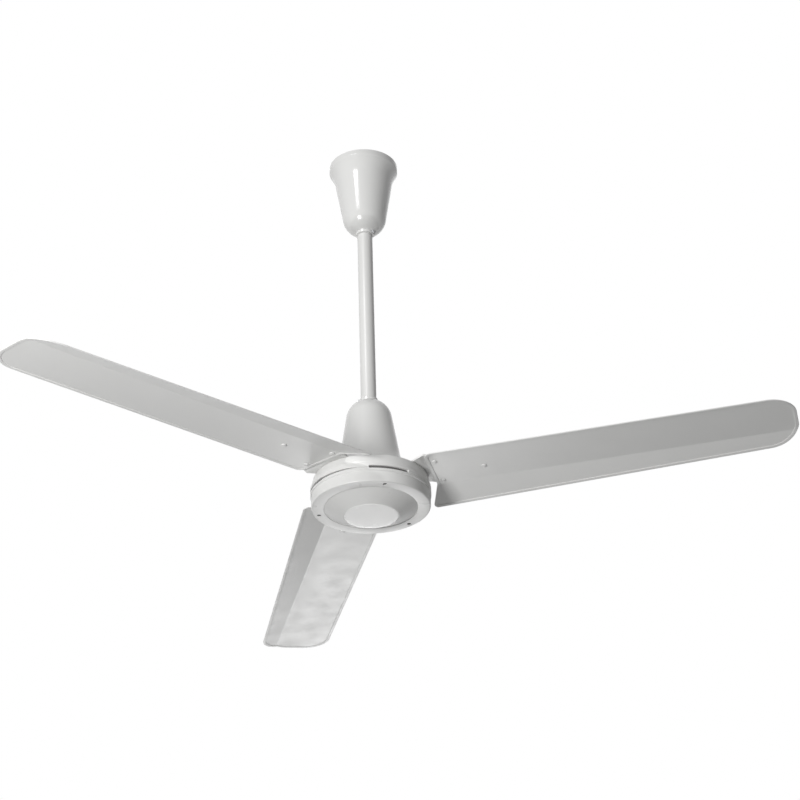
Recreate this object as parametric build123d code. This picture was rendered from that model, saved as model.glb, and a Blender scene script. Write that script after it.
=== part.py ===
from build123d import *
import os
from math import atan2, cos, degrees, hypot, radians, sin, tan

# A three-blade industrial ceiling fan on a down rod, in millimetres. The origin is the
# middle of the ceiling bracket's top face, +Z is up and the fan hangs below it.

# Driving sizes of the whole fan
sweep_radius = 711.0
blade_count = 3
first_arm_angle = -14.95
motor_radius = 100.1
rod_radius = 13.35
rod_wall = 2.6
rod_length = 457.0
rod_top_drop = 91.0
rod_end_above_motor = 92.0

# Named clearances
cover_rod_gap = 0.3
running_gap = 0.3
air_gap = 0.5
screw_gap = 0.15
seat_gap = 0.3
bolt_gap = 0.2

# Covers at the two ends of the rod, both of one shape, h runs from the neck to the rim
cover_neck_radius = 16.2
cover_neck_height = 5.5
cover_dome_radius = 36.0
cover_dome_offset = 3.3
cover_dome_centre_h = 39.3
cover_cone_start_h = 33.5
cover_cone_start_r = 38.8
cover_cone_end_h = 108.0
cover_cone_end_r = 50.9
cover_flare_h = 137.0
cover_flare_bulge = 3.6
cover_rim_radius = 61.6
cover_height = 147.0
cover_wall = 1.6
ceiling_gap = 2.0
lower_cover_gap = 6.0
set_screw_radius = 1.5
set_screw_head_radius = 2.6
set_screw_head_height = 2.6

# Ceiling bracket
plate_length = 96.0
plate_width = 34.0
plate_thickness = 3.0
plate_hole_spacing = 76.0
plate_hole_radius = 3.5
cheek_gap = 27.0
cheek_width = 30.0
cheek_thickness = 3.0
cheek_drop = 54.0
plate_corner_radius = 5.0
cheek_corner_radius = 12.0
pin_drop = 40.0
pin_radius = 5.0
pin_head_radius = 8.5
pin_head_height = 5.0
nut_height = 6.5
roller_groove_radius = 13.35
roller_flange_radius = 17.5
roller_groove_width = 17.0

# Hanging strap over the roller
strap_width = 16.0
strap_thickness = 3.0
strap_tail = 15.0
cross_bolt_radius = 4.0
cross_bolt_head_radius = 6.6
cross_bolt_head_height = 4.5
strap_bolt_inset = 15.0
split_pin_radius = 1.2
split_pin_leg = 5.0
bolt_tail = 6.0
split_pin_inset = 3.0

# Motor shaft, its coupling socket and the wiring plate
shaft_core_radius = 10.0
shaft_bearing_radius = 8.5
shaft_top_radius = 8.0
shaft_bore_radius = 4.0
shaft_end_gap = 7.0
lead_hole_radius = 2.5
lead_hole_above_plate = 14.0
socket_pin_radius = 2.5
socket_wall = 4.0
socket_height = 55.0
socket_depth = 28.0
wiring_plate_radius = 41.0
wiring_plate_thickness = 2.0
wiring_plate_above_motor = 8.0
capacitor_radius = 12.5
capacitor_height = 44.0
capacitor_offset = 25.5
clip_thickness = 1.0
terminal_length = 30.0
terminal_width = 12.0
terminal_height = 11.0
terminal_offset = 27.0
terminal_pitch = 9.0
terminal_screw_radius = 2.0
terminal_wire_radius = 1.8
terminal_floor = 4.0
shaft_nut_corner_radius = 12.5
shaft_nut_height = 7.0
plate_lead_hole_radius = 4.0
capacitor_edge_radius = 2.0
tab_spacing = 8.0
tab_height = 5.0
clip_width = 8.0
clip_height = 18.0
clip_foot = 9.0
clip_screw_radius = 1.5
clip_screw_head_radius = 3.0
clip_screw_head_height = 2.0

# Motor housing
housing_wall = 2.8
motor_height = 52.5
shoulder_radius = 9.0
shoulder_inset = 4.0
shoulder_drop = 15.0
band_stand_out = 0.9
band_half_height = 8.0
seam_below_top = 26.0
slot_height = 4.6
slot_arc = 40.0
slot_pitch = 90.0
slot_first_angle = 288.6
ring_inner_radius = 79.0
ring_edge_radius = 2.4
ring_groove_depth = 0.8
ring_groove_width = 1.2
cone_bottom_radius = 47.0
cone_height = 15.0
cap_radius = 46.0
cap_thickness = 1.7
cap_stem_radius = 6.0
ring_screw_circle_radius = 90.0
ring_screw_radius = 2.2
ring_screw_head_radius = 3.4
ring_screw_head_height = 2.6
ring_screw_recess = 1.2
screw_boss_radius = 4.2

# Rotor, stator and bearings
rotor_inner_radius = 81.4
core_height = 22.0
core_below_top = 17.0
cage_ring_height = 4.5
cage_ring_inner = 82.4
cage_ring_outer = 85.6
cage_bar_circle_radius = 84.0
cage_bar_radius = 1.3
cage_bar_count = 24
stator_slot_count = 18
stator_slot_width = 6.0
stator_slot_inner = 50.0
stator_slot_outer = 72.0
stator_mouth_width = 2.4
winding_overhang = 6.5
winding_inner_radius = 46.0
winding_edge_radius = 3.0
bearing_outer_radius = 20.0
bearing_width = 12.0
bearing_ball_radius = 3.1
bearing_ball_count = 8
ball_cage_wall = 1.8
ball_cage_height = 7.2
inner_race_radius = 12.4
outer_race_radius = 16.2
top_bearing_below_top = 1.5
bottom_bearing_below_top = 60.0

# Blades, in the arm's own frame: r outward, t across it, z above the blade's datum.
# The edges and the crease are given by their t at one gauge radius and their skew.
datum_below_top = 8.0
blade_root_r = 105.0
flap_root_r = 85.0
blade_thickness = 1.0
gauge_r = 150.0
wide_edge_t = -59.9
crease_t = 39.1
narrow_edge_t = 89.6
wide_edge_skew = -0.0544
narrow_edge_skew = -0.0886
wide_datum = 9.18
wide_droop = -0.0211
wide_slope = -0.062
flap_slope = -0.26
tip_narrow_radius = 55.0
tip_wide_radius = 43.0
root_wide_radius = 14.0
root_narrow_radius = 6.0
hem_width = 5.5
hem_drop = 0.8
sheet_margin = 30.0
sheet_cut_reach = 150.0

# Blade arms and their fasteners
arm_thickness = 3.0
arm_inner_r = 66.0
arm_pad_end_r = 96.0
arm_pad_half_width = 30.0
arm_root_half_width = 37.0
arm_wide_side_t = 53.0
arm_nose_half_width = 9.0
arm_nose_r = 210.0
arm_corner_radius = 8.0
rivet_pair_r = 118.0
rivet_pair_t = 30.8
rivet_nose_r = 195.3
rivet_radius = 2.5
rivet_head_radius = 4.6
rivet_head_height = 2.2
arm_screw_r = 78.0
arm_screw_t = 20.0
arm_screw_radius = 2.5
arm_screw_head_radius = 4.5
arm_screw_head_height = 3.0
arm_screw_grip = 7.0
arm_boss_radius = 5.0

# Places worked out from the sizes above
rod_top = -rod_top_drop
rod_bottom = rod_top - rod_length
top = rod_bottom - rod_end_above_motor
ring_z = top - motor_height
seam = top - seam_below_top
floor_z = ring_z - cone_height
datum = top - datum_below_top
core_top = top - core_below_top
core_bottom = core_top - core_height
shaft_top = rod_bottom - shaft_end_gap
wiring_z = top + wiring_plate_above_motor
upper_rim = -ceiling_gap
upper_neck = upper_rim - cover_height
lower_rim = top + lower_cover_gap
lower_neck = lower_rim + cover_height
strap_inner = rod_radius + running_gap
strap_outer = strap_inner + strap_thickness
strap_bolt_z = rod_top - strap_bolt_inset
socket_inner = rod_radius + running_gap / 3
socket_outer = socket_inner + socket_wall
socket_top = rod_bottom + socket_depth
socket_bottom = socket_top - socket_height
rod_bolt_z = rod_bottom + socket_depth / 2
socket_pin_z = (socket_bottom + shaft_top) / 2
wall_inner = motor_radius - housing_wall
arm_bottom = top
arm_angles = [first_arm_angle + 360 / blade_count * k for k in range(blade_count)]
ring_screw_angles = [angle + 60 for angle in arm_angles]
slot_angles = [slot_first_angle + slot_pitch * k for k in range(4)]

os.makedirs("parts", exist_ok=True)


def save(name, shape):
    """Write one piece under its own name."""
    export_step(shape, f"parts/{name}.step")


def group(solids):
    """Hold several separate solids as one piece."""
    return Compound(children=[part for item in solids for part in item.solids()])


def turned(points, radii=None):
    """A solid turned about Z from a closed outline of (radius, z) points, with rounded corners."""
    corner_radii = radii or [0] * len(points)
    outline = FilletPolyline(*[(r, 0, z) for r, z in points], radius=corner_radii, close=True)
    return revolve(make_face(outline), Axis.Z, 360)


def rod_z(radius, low, high, x=0, y=0):
    """A round bar along Z."""
    return Pos(x, y, (low + high) / 2) * Cylinder(radius, high - low)


def rod_x(radius, start, end, y=0, z=0):
    """A round bar along X."""
    return Pos((start + end) / 2, y, z) * Rot(0, 90, 0) * Cylinder(radius, end - start)


def rod_y(radius, start, end, x=0, z=0):
    """A round bar along Y."""
    return Pos(x, (start + end) / 2, z) * Rot(90, 0, 0) * Cylinder(radius, end - start)


def tube(outer, inner, low, high):
    """A plain ring with a square section."""
    return rod_z(outer, low, high) - rod_z(inner, low - 1, high + 1)


def hexagon(across, low, high, bore):
    """A hexagon nut along Z, given over its corners."""
    blank = Pos(0, 0, low) * extrude(RegularPolygon(across, 6), high - low)
    return blank - rod_z(bore, low - 1, high + 1)


def polar(radius, angle):
    """The (x, y) of a point at a radius and an angle in degrees."""
    return radius * cos(radians(angle)), radius * sin(radians(angle))


def around(angles, make):
    """One copy of a piece at each angle about Z."""
    return [Rot(0, 0, angle) * make for angle in angles]


# Ceiling bracket: a flat plate with two cheeks that hold the hanging pin
def ceiling_bracket():
    cheek_x = cheek_gap / 2 + cheek_thickness / 2
    plate = Pos(0, 0, -plate_thickness / 2) * Box(plate_length, plate_width, plate_thickness)
    plate = fillet(plate.edges().filter_by(Axis.Z), plate_corner_radius)
    for side in (-1, 1):
        cheek = Pos(side * cheek_x, 0, -cheek_drop / 2) * Box(cheek_thickness, cheek_width, cheek_drop)
        low_edges = cheek.edges().filter_by(Axis.X).sort_by(Axis.Z)[:2]
        plate += fillet(low_edges, cheek_corner_radius)
        plate -= rod_z(plate_hole_radius, -plate_thickness - 1, 1, x=side * plate_hole_spacing / 2)
    plate -= rod_x(pin_radius + bolt_gap, -plate_length / 2, plate_length / 2, z=-pin_drop)
    return plate


def hanging_pin():
    cheek_out = cheek_gap / 2 + cheek_thickness
    tail = cheek_out + nut_height + bolt_tail
    pin = rod_x(pin_radius, -cheek_out, tail, z=-pin_drop)
    head = Pos(-cheek_out - pin_head_height, 0, -pin_drop) * Rot(0, 90, 0)
    pin += head * extrude(RegularPolygon(pin_head_radius, 6), pin_head_height)
    hole_x = tail - split_pin_inset
    hole_reach = 2 * pin_radius
    return pin - rod_z(split_pin_radius + screw_gap, -pin_drop - hole_reach, -pin_drop + hole_reach, x=hole_x)


def hanging_nut():
    cheek_out = cheek_gap / 2 + cheek_thickness
    return Pos(cheek_out, 0, -pin_drop) * Rot(0, 90, 0) * hexagon(pin_head_radius, 0, nut_height, pin_radius)


def split_pin(reach):
    """A split pin along Z: an eye, a shank and two legs bent outward."""
    eye_radius = split_pin_radius * 1.5
    shank = rod_z(split_pin_radius, -reach, reach)
    eye = Pos(0, 0, reach + eye_radius) * Rot(90, 0, 0) * Torus(eye_radius, split_pin_radius * 0.6)
    leg = Pos(0, 0, -reach) * Rot(0, 90, 0) * Cylinder(split_pin_radius * 0.8, split_pin_leg)
    return shank + eye + leg


def rubber_roller():
    half = cheek_gap / 2 - running_gap
    groove = roller_groove_width / 2
    points = [
        (pin_radius + screw_gap, -half),
        (roller_flange_radius, -half),
        (roller_flange_radius, -groove),
        (roller_groove_radius, -groove),
        (roller_groove_radius, groove),
        (roller_flange_radius, groove),
        (roller_flange_radius, half),
        (pin_radius + screw_gap, half),
    ]
    roller = turned(points, [0, 2, 1, 0, 0, 1, 2, 0])
    return Pos(0, 0, -pin_drop) * Rot(0, 90, 0) * roller


# Strap that hooks over the roller and carries the rod
def top_strap():
    leg_low = strap_bolt_z - strap_tail
    hoop = Pos(0, 0, -pin_drop) * Rot(0, 90, 0) * (
        Cylinder(strap_outer, strap_width) - Cylinder(strap_inner, strap_width + 2)
    )
    hoop -= Pos(0, 0, -pin_drop - strap_outer) * Box(strap_width + 4, 4 * strap_outer, 2 * strap_outer)
    for side in (-1, 1):
        leg_y = side * (strap_inner + strap_thickness / 2)
        leg_mid = (leg_low - pin_drop) / 2
        leg = Pos(0, leg_y, leg_mid) * Box(strap_width, strap_thickness, -pin_drop - leg_low)
        corner = leg.edges().filter_by(Axis.Y).sort_by(Axis.Z)[:2]
        hoop += fillet(corner, strap_width / 3)
    return hoop - rod_y(cross_bolt_radius + bolt_gap, -2 * strap_outer, 2 * strap_outer, z=strap_bolt_z)


def cross_bolt(outer):
    """A bolt along Y through a width of twice outer, with its head on the near side."""
    tail = outer + nut_height + bolt_tail
    bolt = rod_y(cross_bolt_radius, -outer, tail)
    head = Pos(0, -outer, 0) * Rot(90, 0, 0) * extrude(
        RegularPolygon(cross_bolt_head_radius, 6), cross_bolt_head_height
    )
    hole_reach = 2 * cross_bolt_radius
    hole_y = tail - split_pin_inset
    return bolt + head - rod_z(split_pin_radius + screw_gap, -hole_reach, hole_reach, y=hole_y)


def cross_nut(outer):
    nut = hexagon(cross_bolt_head_radius + 0.6, 0, nut_height, cross_bolt_radius)
    return Pos(0, outer + nut_height, 0) * Rot(90, 0, 0) * nut


def down_rod():
    rod = tube(rod_radius, rod_radius - rod_wall, rod_bottom, rod_top)
    for z in (strap_bolt_z, rod_bolt_z):
        rod -= rod_y(cross_bolt_radius + bolt_gap, -2 * rod_radius, 2 * rod_radius, z=z)
    return rod


# Cover at either end of the rod, drawn with its neck at h = 0 and its rim upward
def rod_cover():
    def dome_r(h, inset=0.0):
        reach = cover_dome_radius - inset
        return cover_dome_offset + (reach**2 - (cover_dome_centre_h - h) ** 2) ** 0.5

    def shell_line(inset, start_r):
        dome_low = cover_neck_height + inset
        dome_mid = (dome_low + cover_cone_start_h) / 2
        edges = [
            Line((start_r, 0, dome_low), (dome_r(dome_low, inset), 0, dome_low)),
            ThreePointArc(
                (dome_r(dome_low, inset), 0, dome_low),
                (dome_r(dome_mid, inset), 0, dome_mid),
                (cover_cone_start_r - inset, 0, cover_cone_start_h),
            ),
            Line(
                (cover_cone_start_r - inset, 0, cover_cone_start_h),
                (cover_cone_end_r - inset, 0, cover_cone_end_h),
            ),
            ThreePointArc(
                (cover_cone_end_r - inset, 0, cover_cone_end_h),
                (cover_cone_end_r - inset + cover_flare_bulge, 0, (cover_cone_end_h + cover_flare_h) / 2),
                (cover_rim_radius - inset, 0, cover_flare_h),
            ),
            Line((cover_rim_radius - inset, 0, cover_flare_h), (cover_rim_radius - inset, 0, cover_height)),
        ]
        return edges

    bore = rod_radius + cover_rod_gap
    outer = shell_line(0.0, bore)
    inner = shell_line(cover_wall, bore)
    rim = Line((cover_rim_radius, 0, cover_height), (cover_rim_radius - cover_wall, 0, cover_height))
    wall = Line((bore, 0, cover_neck_height), (bore, 0, cover_neck_height + cover_wall))
    shell = revolve(make_face([*outer, rim, *inner, wall]), Axis.Z, 360)
    neck = tube(cover_neck_radius, bore, 0, cover_neck_height + cover_wall + 2)
    cover = shell + neck
    return cover - rod_x(set_screw_radius + screw_gap, 0, cover_neck_radius + 5, z=cover_neck_height / 2)


def set_screw():
    """A small screw through the cover's neck along X, in the cover's own frame."""
    z = cover_neck_height / 2
    tip = rod_radius + screw_gap / 2
    seat = cover_neck_radius
    screw = rod_x(set_screw_radius, tip, seat + 1, z=z)
    head = rod_x(set_screw_head_radius, seat, seat + set_screw_head_height, z=z)
    head = fillet(head.edges().sort_by(Axis.X)[-1:], 0.8)
    return screw + head


# Shaft that stands still, with the socket for the rod on its top
def motor_shaft():
    core_low = top - bottom_bearing_below_top + bearing_width
    low_end = core_low - bearing_width - 2
    core_high = top - top_bearing_below_top - bearing_width
    shaft = rod_z(shaft_bearing_radius, low_end, wiring_z)
    shaft += rod_z(shaft_core_radius, core_low, core_high)
    shaft += rod_z(shaft_top_radius, wiring_z, shaft_top)
    shaft -= rod_z(shaft_bore_radius, core_high - 4, shaft_top + 1)
    reach = 2 * shaft_core_radius
    lead_hole_z = wiring_z + wiring_plate_thickness + lead_hole_above_plate
    shaft -= rod_y(lead_hole_radius, 0, reach, z=lead_hole_z)
    return shaft - rod_y(socket_pin_radius + screw_gap, -reach, reach, z=socket_pin_z)


def rod_socket():
    socket = rod_z(socket_outer, socket_bottom, socket_top)
    socket = fillet(socket.edges().sort_by(Axis.Z)[:1], 3)
    socket -= rod_z(socket_inner, rod_bottom, socket_top + 1)
    socket -= rod_z(shaft_top_radius, socket_bottom - 1, rod_bottom + 1)
    socket -= rod_y(cross_bolt_radius + bolt_gap, -2 * socket_outer, 2 * socket_outer, z=rod_bolt_z)
    return socket - rod_y(socket_pin_radius + screw_gap, -2 * socket_outer, 2 * socket_outer, z=socket_pin_z)


def socket_pin():
    return rod_y(socket_pin_radius, -socket_outer, socket_outer, z=socket_pin_z)


def wiring_plate():
    plate = tube(wiring_plate_radius, shaft_top_radius, wiring_z, wiring_z + wiring_plate_thickness)
    hole_y = wiring_plate_radius - 1.2 * plate_lead_hole_radius
    high = wiring_z + wiring_plate_thickness
    return plate - rod_z(plate_lead_hole_radius, wiring_z - 1, high + 1, y=hole_y)


def shaft_nut():
    low = wiring_z + wiring_plate_thickness
    return hexagon(shaft_nut_corner_radius, low, low + shaft_nut_height, shaft_top_radius)


def capacitor():
    low = wiring_z + wiring_plate_thickness
    can = rod_z(capacitor_radius, low, low + capacitor_height, x=-capacitor_offset)
    can = fillet(can.edges().sort_by(Axis.Z)[-1:], capacitor_edge_radius)
    tab = Box(0.8, tab_spacing / 2, 2 * tab_height)
    for side in (-1, 1):
        can += Pos(-capacitor_offset + side * tab_spacing / 2, 0, low + capacitor_height) * tab
    return can


def capacitor_clip():
    low = wiring_z + wiring_plate_thickness
    outer = capacitor_radius + clip_thickness
    ring = Cylinder(outer, clip_width) - Cylinder(capacitor_radius, clip_width + 2)
    band = Pos(-capacitor_offset, 0, low + clip_height - clip_width / 2) * ring
    foot_y = outer - clip_thickness + clip_foot / 2
    strut_place = Pos(-capacitor_offset, outer - clip_thickness / 2, low + clip_height / 2)
    strut = strut_place * Box(clip_width, clip_thickness, clip_height)
    foot_place = Pos(-capacitor_offset, foot_y, low + clip_thickness / 2)
    foot = foot_place * Box(clip_width, clip_foot, clip_thickness)
    hole_radius = clip_screw_radius + bolt_gap
    hole = rod_z(hole_radius, low - 1, low + clip_thickness + 1, x=-capacitor_offset, y=clip_screw_y())
    return band + strut + foot - hole


def clip_screw_y():
    return capacitor_radius + clip_foot / 2


def clip_screw():
    low = wiring_z + wiring_plate_thickness + clip_thickness
    y = clip_screw_y()
    head = rod_z(clip_screw_head_radius, low, low + clip_screw_head_height, x=-capacitor_offset, y=y)
    return head + rod_z(clip_screw_radius, low - 0.9 * clip_thickness, low, x=-capacitor_offset, y=y)


def terminal_block():
    low = wiring_z + wiring_plate_thickness
    block = Pos(terminal_offset, 0, low + terminal_height / 2) * Box(
        terminal_width, terminal_length, terminal_height
    )
    well_radius = terminal_screw_radius + bolt_gap
    wire_z = low + terminal_floor + 1
    for step in (-1, 0, 1):
        y = step * terminal_pitch
        block -= rod_z(well_radius, low + terminal_floor, low + 2 * terminal_height, x=terminal_offset, y=y)
        for side in (-1, 1):
            ends = [terminal_offset + side * terminal_width * share for share in (0.25, 1)]
            block -= rod_x(terminal_wire_radius, min(ends), max(ends), y=y, z=wire_z)
    return block


def terminal_screws():
    low = wiring_z + wiring_plate_thickness
    screw = rod_z(terminal_screw_radius, low + terminal_floor, low + terminal_height - 2, x=terminal_offset)
    return group([Pos(0, step * terminal_pitch, 0) * screw for step in (-1, 0, 1)])


# Stator: slotted core and its winding
def stator_core():
    core = tube(rotor_inner_radius - air_gap, shaft_core_radius, core_bottom, core_top)
    mid = (stator_slot_inner + stator_slot_outer) / 2
    height = core_height + 2
    centre = (core_top + core_bottom) / 2
    slot = Pos(mid, 0, centre) * Box(stator_slot_outer - stator_slot_inner, stator_slot_width, height)
    mouth_length = 2 * (rotor_inner_radius - stator_slot_outer)
    mouth_mid = stator_slot_outer + mouth_length / 2 - 1
    mouth = Pos(mouth_mid, 0, centre) * Box(mouth_length, stator_mouth_width, height)
    pitch = 360 / stator_slot_count
    for k in range(stator_slot_count):
        core -= Rot(0, 0, pitch * k) * (slot + mouth)
    return core


def stator_winding():
    half = running_gap / 2
    bar_width = stator_slot_width - 2 * half
    bar_length = stator_slot_outer - stator_slot_inner - 2 * half
    low = core_bottom - half - winding_overhang
    high = core_top + half + winding_overhang
    ring_points = [(winding_inner_radius, 0), (stator_slot_outer - half, 0)]
    ring_points += [(stator_slot_outer - half, winding_overhang), (winding_inner_radius, winding_overhang)]
    ring = turned(ring_points, [0, 0, winding_edge_radius, winding_edge_radius])
    winding = Pos(0, 0, core_top + half) * ring
    winding += Pos(0, 0, core_bottom - half) * Rot(180, 0, 0) * ring
    mid = (stator_slot_inner + stator_slot_outer) / 2
    bar = Pos(mid, 0, (low + high) / 2) * Box(bar_length, bar_width, core_height + 2 * half + 2)
    pitch = 360 / stator_slot_count
    for k in range(stator_slot_count):
        winding += Rot(0, 0, pitch * k) * bar
    return winding


# Bearings, each a pair of races with caged balls
def bearing_z(below_top):
    return top - below_top - bearing_width / 2


def race(inner, outer, z):
    """A bearing ring with a groove for the balls."""
    ring = tube(outer, inner, z - bearing_width / 2, z + bearing_width / 2)
    pitch = (inner_race_radius + outer_race_radius) / 2
    return ring - Pos(0, 0, z) * Torus(pitch, bearing_ball_radius + running_gap / 2)


def caged_balls(z):
    pitch = (inner_race_radius + outer_race_radius) / 2
    half_wall, half_height = ball_cage_wall / 2, ball_cage_height / 2
    cage = tube(pitch + half_wall, pitch - half_wall, z - half_height, z + half_height)
    step = 360 / bearing_ball_count
    for k in range(bearing_ball_count):
        x, y = polar(pitch, step * k)
        cage += Pos(x, y, z) * Sphere(bearing_ball_radius)
    return cage


# Rotor: laminated ring with the cast cage
def rotor_core():
    core = tube(wall_inner, rotor_inner_radius, core_bottom, core_top)
    step = 360 / cage_bar_count
    for k in range(cage_bar_count):
        x, y = polar(cage_bar_circle_radius, step * (k + 0.5) + first_arm_angle)
        core -= rod_z(cage_bar_radius, core_bottom - 1, core_top + 1, x=x, y=y)
    for angle in ring_screw_angles:
        x, y = polar(ring_screw_circle_radius, angle)
        core -= rod_z(ring_screw_radius + screw_gap, core_bottom - 1, core_top + 1, x=x, y=y)
    return core


def rotor_cage():
    low = core_bottom - cage_ring_height
    high = core_top + cage_ring_height
    cage = tube(cage_ring_outer, cage_ring_inner, core_top, high)
    cage += tube(cage_ring_outer, cage_ring_inner, low, core_bottom)
    step = 360 / cage_bar_count
    for k in range(cage_bar_count):
        x, y = polar(cage_bar_circle_radius, step * (k + 0.5) + first_arm_angle)
        cage += rod_z(cage_bar_radius, core_bottom - 1, core_top + 1, x=x, y=y)
    return cage


# Housing: two covers that meet at the seam, with the long slots cut half in each
def slot_cutter(low, high):
    """Four arc-shaped cutters through the wall between two heights."""
    blank = tube(motor_radius + 5, wall_inner - 5, low, high)
    span = slot_arc / 2
    far = 3 * motor_radius
    points = [(0, 0), polar(far, -span), polar(far, span)]
    wedge = extrude(make_face(Polyline(*points, close=True)), high - low)
    cutters = [Rot(0, 0, angle) * Pos(0, 0, low) * wedge for angle in slot_angles]
    return [blank & cutter for cutter in cutters]


def top_cover():
    hub_outer = bearing_outer_radius + 4
    band = motor_radius + band_stand_out
    hub_low = top - top_bearing_below_top - bearing_width
    plate_low = top - housing_wall
    points = [
        (shaft_bearing_radius + 1.5, top),
        (motor_radius - shoulder_inset, top),
        (motor_radius - 0.8, top - shoulder_drop),
        (motor_radius - 0.8, seam + band_half_height),
        (band, seam + band_half_height - 0.8),
        (band, seam + 0.6),
        (band - 0.6, seam),
        (wall_inner, seam),
        (wall_inner, plate_low - 3),
        (wall_inner - shoulder_inset, plate_low),
        (hub_outer, plate_low),
        (hub_outer, hub_low),
        (bearing_outer_radius, hub_low),
        (bearing_outer_radius, top - top_bearing_below_top),
        (shaft_bearing_radius + 1.5, top - top_bearing_below_top),
    ]
    cover = turned(points, [0, shoulder_radius / 3, 0, 0, 0, 0, 0, 0, 0, 0, 2, 0, 0, 0, 0])
    for angle in arm_angles:
        for side in (-1, 1):
            y = side * arm_screw_t
            boss = rod_z(arm_boss_radius, top - arm_screw_grip, plate_low + 0.5, x=arm_screw_r, y=y)
            hole = rod_z(arm_screw_radius, top - arm_screw_grip - 1, top + 1, x=arm_screw_r, y=y)
            cover += Rot(0, 0, angle) * boss
            cover -= Rot(0, 0, angle) * hole
    boss_low = core_top + 0.2
    for angle in ring_screw_angles:
        x, y = polar(ring_screw_circle_radius, angle)
        cover += rod_z(screw_boss_radius, boss_low, plate_low + 0.5, x=x, y=y)
        cover -= rod_z(ring_screw_radius, boss_low - 1, top - 4, x=x, y=y)
    for cutter in slot_cutter(seam - 1, seam + slot_height / 2):
        cover -= cutter
    return cover


def bottom_cover():
    hub_outer = bearing_outer_radius + 4
    band = motor_radius + band_stand_out
    floor_in = floor_z + cap_thickness + 2.2
    bearing_low = top - bottom_bearing_below_top
    points = [
        (wall_inner, seam),
        (band - 0.6, seam),
        (band, seam - 0.6),
        (band, seam - band_half_height + 2.0),
        (motor_radius - 0.5, seam - band_half_height + 1.2),
        (motor_radius - 0.5, ring_z),
        (ring_inner_radius, ring_z),
        (ring_inner_radius, ring_z + ring_groove_depth),
        (ring_inner_radius - ring_groove_width, ring_z + ring_groove_depth),
        (cone_bottom_radius, floor_z + 0.6),
        (cap_radius + 0.2, floor_z + 0.6),
        (cap_radius + 0.2, floor_z + cap_thickness),
        (cap_stem_radius + screw_gap, floor_z + cap_thickness),
        (cap_stem_radius + screw_gap, floor_in),
        (bearing_outer_radius - 4, floor_in),
        (bearing_outer_radius - 4, bearing_low),
        (bearing_outer_radius, bearing_low),
        (bearing_outer_radius, bearing_low + bearing_width),
        (hub_outer, bearing_low + bearing_width),
        (hub_outer, floor_in),
        (cone_bottom_radius - 2, floor_in),
        (ring_inner_radius - 2, ring_z + housing_wall),
        (wall_inner, ring_z + housing_wall),
    ]
    radii = [0, 0, 0, 0, 0, ring_edge_radius] + [0] * 12 + [0, 1.5, 0, 0, 0]
    cover = turned(points, radii)
    boss_high = core_bottom - 0.2
    for angle in ring_screw_angles:
        x, y = polar(ring_screw_circle_radius, angle)
        cover += rod_z(screw_boss_radius, ring_z + housing_wall - 0.5, boss_high, x=x, y=y)
        cover -= rod_z(ring_screw_radius + screw_gap, ring_z - 1, boss_high + 1, x=x, y=y)
        recess = ring_z + ring_screw_recess + ring_screw_head_height
        cover -= rod_z(ring_screw_head_radius + screw_gap, ring_z - 1, recess, x=x, y=y)
    for cutter in slot_cutter(seam - slot_height / 2, seam + 1):
        cover -= cutter
    return cover


def centre_cap():
    low = floor_z
    high = floor_z + cap_thickness
    cap = rod_z(cap_radius, low, high)
    cap = fillet(cap.edges().sort_by(Axis.Z)[:1], 0.7)
    return cap + rod_z(cap_stem_radius, high - 0.5, high + 2.2)


def ring_screws():
    """Socket-headed screws that clamp the two covers over the rotor."""
    head_low = ring_z + ring_screw_recess
    head_high = head_low + ring_screw_head_height
    screw = rod_z(ring_screw_head_radius, head_low, head_high)
    screw += rod_z(ring_screw_radius, head_high - 0.5, top - 5)
    screw -= Pos(0, 0, head_low) * extrude(RegularPolygon(1.7, 6), 1.6)
    return group([Pos(*polar(ring_screw_circle_radius, angle), 0) * screw for angle in ring_screw_angles])


# Blade: two flat facets that meet at a crease, with a folded hem round the edge
def edge_t(t_at_gauge, skew, r):
    return t_at_gauge + skew * (r - gauge_r)


def wide_z(r, t):
    return datum + wide_datum + wide_droop * r + wide_slope * t


def flap_z(r, t):
    crease = edge_t(crease_t, wide_edge_skew, r)
    return wide_z(r, crease) + flap_slope * (t - crease)


def facet(corners, height_at, lift, thickness):
    """A flat sheet over four (r, t) corners, standing on its own sloping plane."""
    points = [(r, t, height_at(r, t) + lift) for r, t in corners]
    face = make_face(Polyline(*points, close=True))
    return extrude(face, amount=thickness, dir=(0, 0, 1))


def folded_sheet(lift, thickness):
    near, far, beyond = blade_root_r - sheet_margin, sweep_radius + sheet_margin, 2 * sheet_margin
    near_crease = edge_t(crease_t, wide_edge_skew, near)
    far_crease = edge_t(crease_t, wide_edge_skew, far)
    wide_t = wide_edge_t - beyond
    flap_t = narrow_edge_t + beyond
    wide_corners = [(near, wide_t), (far, wide_t), (far, far_crease), (near, near_crease)]
    flap_corners = [(near, near_crease), (far, far_crease), (far, flap_t), (near, flap_t)]
    wide = facet(wide_corners, wide_z, lift, thickness)
    return wide + facet(flap_corners, flap_z, lift, thickness)


def blade_plan(inset):
    """The blade's outline seen from above, drawn in by an inset."""
    root, tip = blade_root_r, sweep_radius
    outline = FilletPolyline(
        (root, edge_t(wide_edge_t, wide_edge_skew, root)),
        (tip, edge_t(wide_edge_t, wide_edge_skew, tip)),
        (tip, edge_t(narrow_edge_t, narrow_edge_skew, tip)),
        (flap_root_r, edge_t(narrow_edge_t, narrow_edge_skew, flap_root_r)),
        (root, edge_t(crease_t, wide_edge_skew, root)),
        radius=[root_wide_radius, tip_wide_radius, tip_narrow_radius, root_narrow_radius, 0],
        close=True,
    )
    face = make_face(outline)
    if inset:
        face = offset(face, amount=-inset, kind=Kind.ARC)
    return Pos(0, 0, datum - sheet_cut_reach) * extrude(face, 2 * sheet_cut_reach)


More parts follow.
